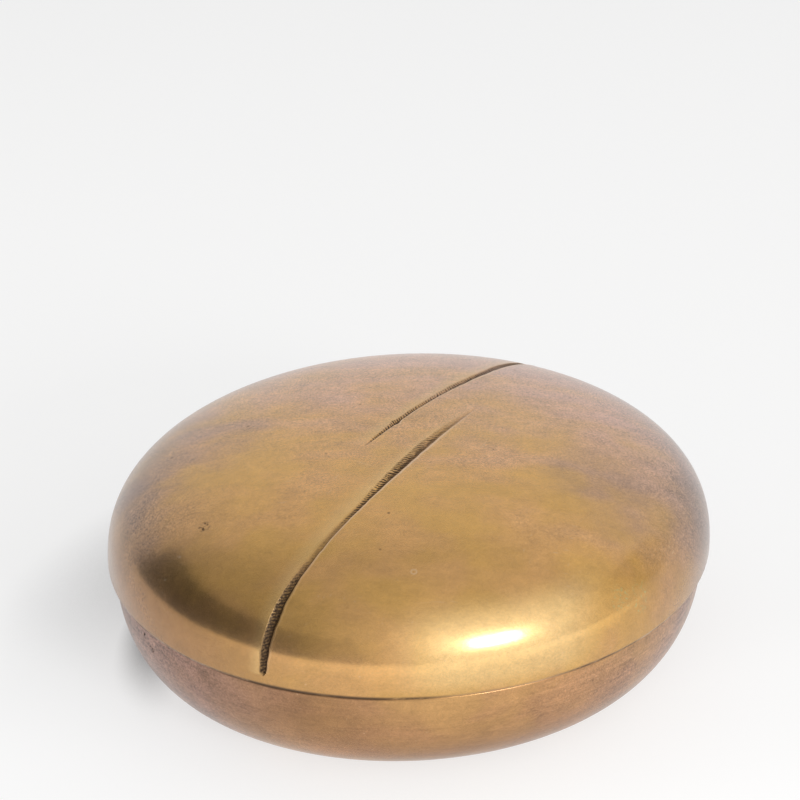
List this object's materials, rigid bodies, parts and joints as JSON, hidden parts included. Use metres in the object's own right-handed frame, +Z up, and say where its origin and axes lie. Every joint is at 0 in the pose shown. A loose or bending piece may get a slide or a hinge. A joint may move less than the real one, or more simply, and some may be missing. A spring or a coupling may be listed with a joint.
{
  "type": "keepsake box",
  "caption": "Oval, pebble-like cast-brass keepsake box: a rounded base with a locating collar and a full domed lid that lifts off, marked by slanting plain cut grooves.",
  "frame": {"origin": "centre of the flat oval underside that the box stands on", "axes": "+Z up, along the way the lid lifts; +X along the oval's long axis; +Y along its short axis"},
  "size_m": [0.15, 0.14, 0.0592],
  "materials": {
    "base_brass": "worn satin cast brass with a reddish patina",
    "collar_brass": "drawn brass strip, dull satin",
    "lid_brass": "rubbed, half-polished cast brass with a thin brown patina"
  },
  "bodies": {
    "base": {"base_shell": "base_brass", "locating_collar": "collar_brass"},
    "lid": {"lid_shell": "lid_brass"}
  },
  "joints": [
    {"name": "lid_lift", "type": "slide", "parent": "base", "child": "lid", "axis": [0, 0, 1], "range_m": [0, 0.08]}
  ]
}
